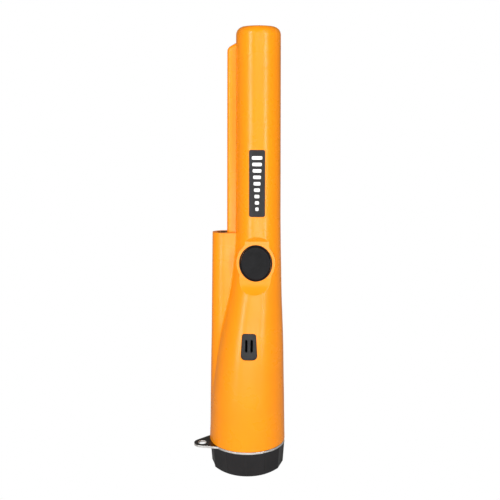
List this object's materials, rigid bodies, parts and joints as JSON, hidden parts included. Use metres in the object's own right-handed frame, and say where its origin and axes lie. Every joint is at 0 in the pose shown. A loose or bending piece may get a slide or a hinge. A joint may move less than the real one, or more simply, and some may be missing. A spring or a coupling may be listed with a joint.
{
  "type": "pinpointer probe",
  "caption": "Hand-held metal-locating probe: tapered orange shell with scraping blade, lamp pod, thumb button, sounder grille, lanyard ring and screwed battery cap.",
  "frame": {"origin": "centre of the flat end of the battery cap, on the axis of the cap and the shell's open end", "axes": "+Z along the probe towards the sensing tip, -Y towards the thumb button and grille side, -X towards the lamp pod and blade"},
  "size_m": [0.048, 0.0404, 0.2292],
  "materials": {
    "shell_orange": "satin moulded orange plastic",
    "black_rubber": "matt black rubber",
    "black_plastic": "satin black plastic",
    "label_black": "black plate",
    "ring_steel": "bright stainless",
    "seal_rubber": "black seal rubber",
    "foam": "grey foam",
    "frame_plastic": "dark grey plastic",
    "screw_steel": "zinc plated",
    "board_green": "green lacquered laminate",
    "chip_black": "moulded black",
    "can_steel": "drawn steel can",
    "cap_sleeve": "dark sleeve",
    "ferrite": "dark grey ferrite",
    "bobbin_plastic": "natural plastic",
    "copper": "lacquered copper wire",
    "contact_brass": "nickelled brass",
    "wire_red": "red insulation",
    "wire_black": "black insulation",
    "wire_white": "white insulation",
    "battery_jacket": "plain painted jacket",
    "lamp_clear": "clear lamp",
    "membrane_black": "fine mesh"
  },
  "bodies": {
    "shell": {"housing": "shell_orange", "label_plate": "label_black", "speaker_grille": "black_plastic", "grille_membrane": "membrane_black", "buzzer_can": "chip_black", "buzzer_holder": "frame_plastic", "buzzer_holder_screws": "screw_steel", "button_gasket": "black_rubber", "led_sleeve": "black_plastic", "tact_switch_body": "chip_black", "inner_frame": "frame_plastic", "frame_screws": "screw_steel", "board_screws": "screw_steel", "circuit_board": "board_green", "microcontroller": "chip_black", "amplifier_chips": "chip_black", "crystal_can": "can_steel", "electrolytic_capacitors": "cap_sleeve", "chip_resistors": "chip_black", "ferrite_rod": "ferrite", "coil_bobbin": "bobbin_plastic", "transmit_winding": "copper", "receive_winding": "copper", "nose_cushion": "foam", "transmit_coil_leads": "copper", "receive_coil_leads": "copper", "contact_board": "board_green", "positive_contact": "contact_brass", "negative_contact": "contact_brass", "battery_lead_red": "wire_red", "battery_lead_black": "wire_black", "buzzer_leads": "wire_white", "battery_case": "battery_jacket", "battery_positive": "contact_brass", "battery_negative": "contact_brass", "motor_can": "can_steel", "motor_end_cap": "black_plastic", "motor_clip": "frame_plastic", "motor_leads": "wire_red", "led_lamp": "lamp_clear", "led_legs": "screw_steel", "led_wires": "wire_white"},
    "button": {"power_button": "black_rubber", "button_retainer": "black_plastic", "tact_switch_plunger": "frame_plastic"},
    "rotor": {"motor_shaft": "screw_steel", "eccentric_weight": "can_steel"},
    "seal_carrier": {"cap_o_ring": "seal_rubber", "battery_cushion": "foam"},
    "cap": {"battery_cap": "black_plastic"},
    "ring": {"lanyard_ring": "ring_steel"}
  },
  "joints": [
    {"name": "button_press", "type": "slide", "parent": "shell", "child": "button", "axis": [0, 1, 0], "range_m": [0, 0.0005], "stiffness_N_per_m": 2500, "springref_m": -0.0002},
    {"name": "rotor_spin", "type": "hinge", "parent": "shell", "child": "rotor", "pos_m": [0.0035, 0.0089, 0.08], "axis": [0, 0, 1], "continuous": true},
    {"name": "cap_back_off", "type": "slide", "parent": "shell", "child": "seal_carrier", "axis": [0, 0, -1], "range_m": [0, 0.006]},
    {"name": "cap_unscrew", "type": "hinge", "parent": "seal_carrier", "child": "cap", "pos_m": [0, 0, 0.007], "axis": [0, 0, -1], "range_deg": [0, 720.5]},
    {"name": "ring_swivel", "type": "hinge", "parent": "seal_carrier", "child": "ring", "pos_m": [0, 0, 0.0139], "axis": [0, 0, 1], "continuous": true}
  ],
  "couplings": [
    {"joint": "cap_unscrew", "follows": "cap_back_off", "rad_per_m": 2094.4}
  ]
}
